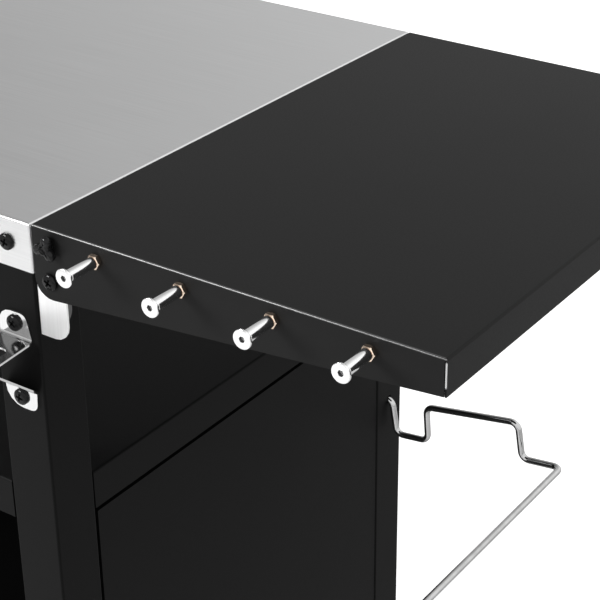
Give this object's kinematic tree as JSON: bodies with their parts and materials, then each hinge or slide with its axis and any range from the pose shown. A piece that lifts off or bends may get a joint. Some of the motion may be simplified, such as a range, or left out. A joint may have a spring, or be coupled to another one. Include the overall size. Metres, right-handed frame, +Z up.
{
  "type": "kitchen island cart",
  "caption": "Rolling prep cart with a stainless worktop, a folding side leaf with utensil hooks, a shelf, an open cabinet, a bottle opener and a bag holder.",
  "frame": {"origin": "on the floor, under the centre of the whole cart's bounding box with the side leaf raised", "axes": "+X to the right along the front, from the cabinet to the side leaf; +Y to the back; +Z up"},
  "size_m": [1.179, 0.553, 0.86],
  "materials": {
    "worktop_steel": "satin, finely brushed stainless steel",
    "bracket_steel": "bright stainless steel",
    "black_coat": "fine satin black powder coat",
    "chrome_hook": "polished",
    "chrome_wire": "bright plated wire",
    "brass_nut": "pale yellow plating",
    "black_screw": "glossy black",
    "zinc_steel": "zinc plated",
    "wheel_rubber": "hard rubber, satin",
    "knob_plastic": "moulded black plastic",
    "pedal_plastic": "moulded black plastic"
  },
  "bodies": {
    "cart": {"worktop": "worktop_steel", "worktop_stiffener": "zinc_steel", "post_front_right": "black_coat", "post_front_left": "black_coat", "post_back_right": "black_coat", "post_back_left": "black_coat", "apron_screw_front_right": "black_screw", "apron_screw_front_left": "black_screw", "apron_screw_back_right": "black_screw", "apron_screw_back_left": "black_screw", "caster_mount_front_right": "zinc_steel", "caster_mount_front_left": "zinc_steel", "caster_mount_back_right": "zinc_steel", "caster_mount_back_left": "zinc_steel", "middle_shelf": "black_coat", "bottom_shelf": "black_coat", "side_panel_right": "black_coat", "side_panel_left": "black_coat", "back_panel": "black_coat", "hinge_bracket_front": "bracket_steel", "hinge_bracket_back": "bracket_steel", "pivot_screw_front": "black_screw", "pivot_screw_back": "black_screw", "bottle_opener": "bracket_steel", "opener_screw_top": "black_screw", "opener_screw_bottom": "black_screw"},
    "side_leaf": {"side_leaf": "black_coat", "side_leaf_stiffener": "black_coat", "hook_1": "chrome_hook", "hook_2": "chrome_hook", "hook_3": "chrome_hook", "hook_4": "chrome_hook", "hook_nut_1": "brass_nut", "hook_nut_2": "brass_nut", "hook_nut_3": "brass_nut", "hook_nut_4": "brass_nut"},
    "lock_knob_front": {"lock_knob_front": "knob_plastic"},
    "lock_knob_back": {"lock_knob_back": "knob_plastic"},
    "bag_holder": {"bag_holder": "chrome_wire"},
    "caster_front_right": {"caster_fork_front_right": "zinc_steel", "caster_axle_front_right": "zinc_steel"},
    "wheel_front_right": {"caster_wheel_front_right": "wheel_rubber"},
    "brake_front_right": {"brake_pedal_front_right": "pedal_plastic"},
    "caster_front_left": {"caster_fork_front_left": "zinc_steel", "caster_axle_front_left": "zinc_steel"},
    "wheel_front_left": {"caster_wheel_front_left": "wheel_rubber"},
    "brake_front_left": {"brake_pedal_front_left": "pedal_plastic"},
    "caster_back_right": {"caster_fork_back_right": "zinc_steel", "caster_axle_back_right": "zinc_steel"},
    "wheel_back_right": {"caster_wheel_back_right": "wheel_rubber"},
    "caster_back_left": {"caster_fork_back_left": "zinc_steel", "caster_axle_back_left": "zinc_steel"},
    "wheel_back_left": {"caster_wheel_back_left": "wheel_rubber"}
  },
  "joints": [
    {"name": "leaf_fold", "type": "hinge", "parent": "cart", "child": "side_leaf", "pos_m": [0.266, 0.02025, 0.819], "axis": [0, 1, 0], "range_deg": [0, 90]},
    {"name": "knob_turn_front", "type": "hinge", "parent": "side_leaf", "child": "lock_knob_front", "pos_m": [0.2675, -0.23375, 0.8467], "axis": [0, 1, 0], "continuous": true},
    {"name": "knob_turn_back", "type": "hinge", "parent": "side_leaf", "child": "lock_knob_back", "pos_m": [0.2675, 0.27425, 0.8467], "axis": [0, 1, 0], "continuous": true},
    {"name": "bag_holder_lift", "type": "hinge", "parent": "cart", "child": "bag_holder", "pos_m": [0.24865, 0.02025, 0.4788], "axis": [0, 1, 0], "range_deg": [-20, 0]},
    {"name": "swivel_front_right", "type": "hinge", "parent": "cart", "child": "caster_front_right", "pos_m": [0.2274, -0.20665, 0.075], "axis": [0, 0, 1], "continuous": true},
    {"name": "roll_front_right", "type": "hinge", "parent": "caster_front_right", "child": "wheel_front_right", "pos_m": [0.2494, -0.20665, 0.032], "axis": [0, 1, 0], "continuous": true},
    {"name": "brake_press_front_right", "type": "hinge", "parent": "caster_front_right", "child": "brake_front_right", "pos_m": [0.2614, -0.20665, 0.068], "axis": [0, 1, 0], "range_deg": [-25, 0]},
    {"name": "swivel_front_left", "type": "hinge", "parent": "cart", "child": "caster_front_left", "pos_m": [-0.5664, -0.20665, 0.075], "axis": [0, 0, 1], "continuous": true},
    {"name": "roll_front_left", "type": "hinge", "parent": "caster_front_left", "child": "wheel_front_left", "pos_m": [-0.5444, -0.20665, 0.032], "axis": [0, 1, 0], "continuous": true},
    {"name": "brake_press_front_left", "type": "hinge", "parent": "caster_front_left", "child": "brake_front_left", "pos_m": [-0.5324, -0.20665, 0.068], "axis": [0, 1, 0], "range_deg": [-25, 0]},
    {"name": "swivel_back_right", "type": "hinge", "parent": "cart", "child": "caster_back_right", "pos_m": [0.2274, 0.24715, 0.075], "axis": [0, 0, 1], "continuous": true},
    {"name": "roll_back_right", "type": "hinge", "parent": "caster_back_right", "child": "wheel_back_right", "pos_m": [0.2494, 0.24715, 0.032], "axis": [0, 1, 0], "continuous": true},
    {"name": "swivel_back_left", "type": "hinge", "parent": "cart", "child": "caster_back_left", "pos_m": [-0.5664, 0.24715, 0.075], "axis": [0, 0, 1], "continuous": true},
    {"name": "roll_back_left", "type": "hinge", "parent": "caster_back_left", "child": "wheel_back_left", "pos_m": [-0.5444, 0.24715, 0.032], "axis": [0, 1, 0], "continuous": true}
  ]
}
